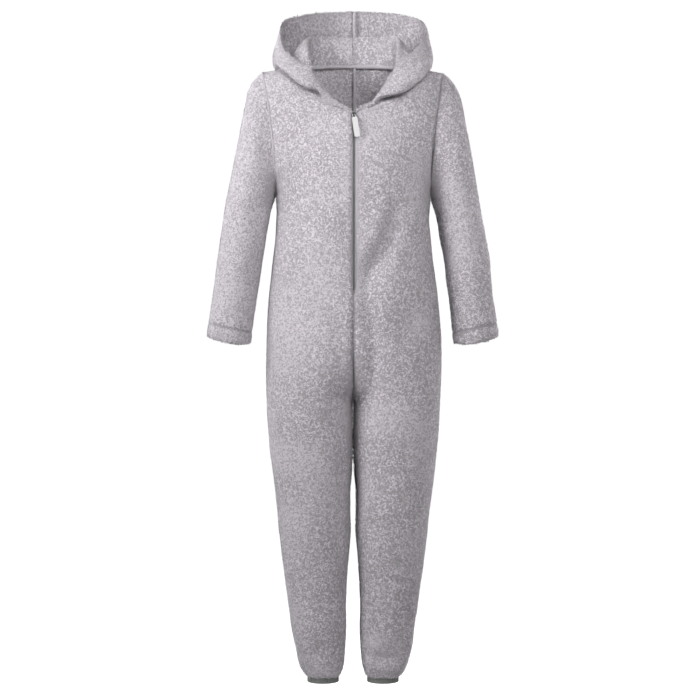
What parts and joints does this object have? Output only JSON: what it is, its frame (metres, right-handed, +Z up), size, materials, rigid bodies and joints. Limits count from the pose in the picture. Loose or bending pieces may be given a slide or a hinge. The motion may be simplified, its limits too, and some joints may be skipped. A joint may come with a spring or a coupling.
{
  "type": "hooded onesie pajama",
  "caption": "Adult-size hooded fleece one-piece pajama with long sleeves, long legs and a front zip, hollow and filled out as worn, with the hood hanging down behind the neck.",
  "frame": {"origin": "the middle between the shoulders, level with the high points of the shoulder seams, where the wearer carries the garment", "axes": "+Z up, -Y towards the front with the zip, +X towards the wearer's left"},
  "size_m": [0.686, 0.3174, 1.6009],
  "materials": {
    "fleece": "matte high-pile fleece",
    "ankle_knit": "matte elasticated knit",
    "zip_tape": "matte woven tape",
    "slider_metal": "satin dark metal",
    "pull_plastic": "satin"
  },
  "bodies": {
    "garment": {"front_left": "fleece", "front_right": "fleece", "back_left": "fleece", "back_right": "fleece", "sleeve_left": "fleece", "sleeve_right": "fleece", "hood_left": "fleece", "hood_right": "fleece", "ankle_band_left": "ankle_knit", "ankle_band_right": "ankle_knit", "zip_tape_left": "zip_tape", "zip_tape_right": "zip_tape", "zip_slider": "slider_metal"},
    "pull": {"zip_pull": "pull_plastic"}
  },
  "joints": [
    {"name": "pull_swing", "type": "hinge", "parent": "garment", "child": "pull", "pos_m": [0.0015, -0.09898, -0.12225], "axis": [-1, 0, 0], "range_deg": [0, 125]}
  ]
}
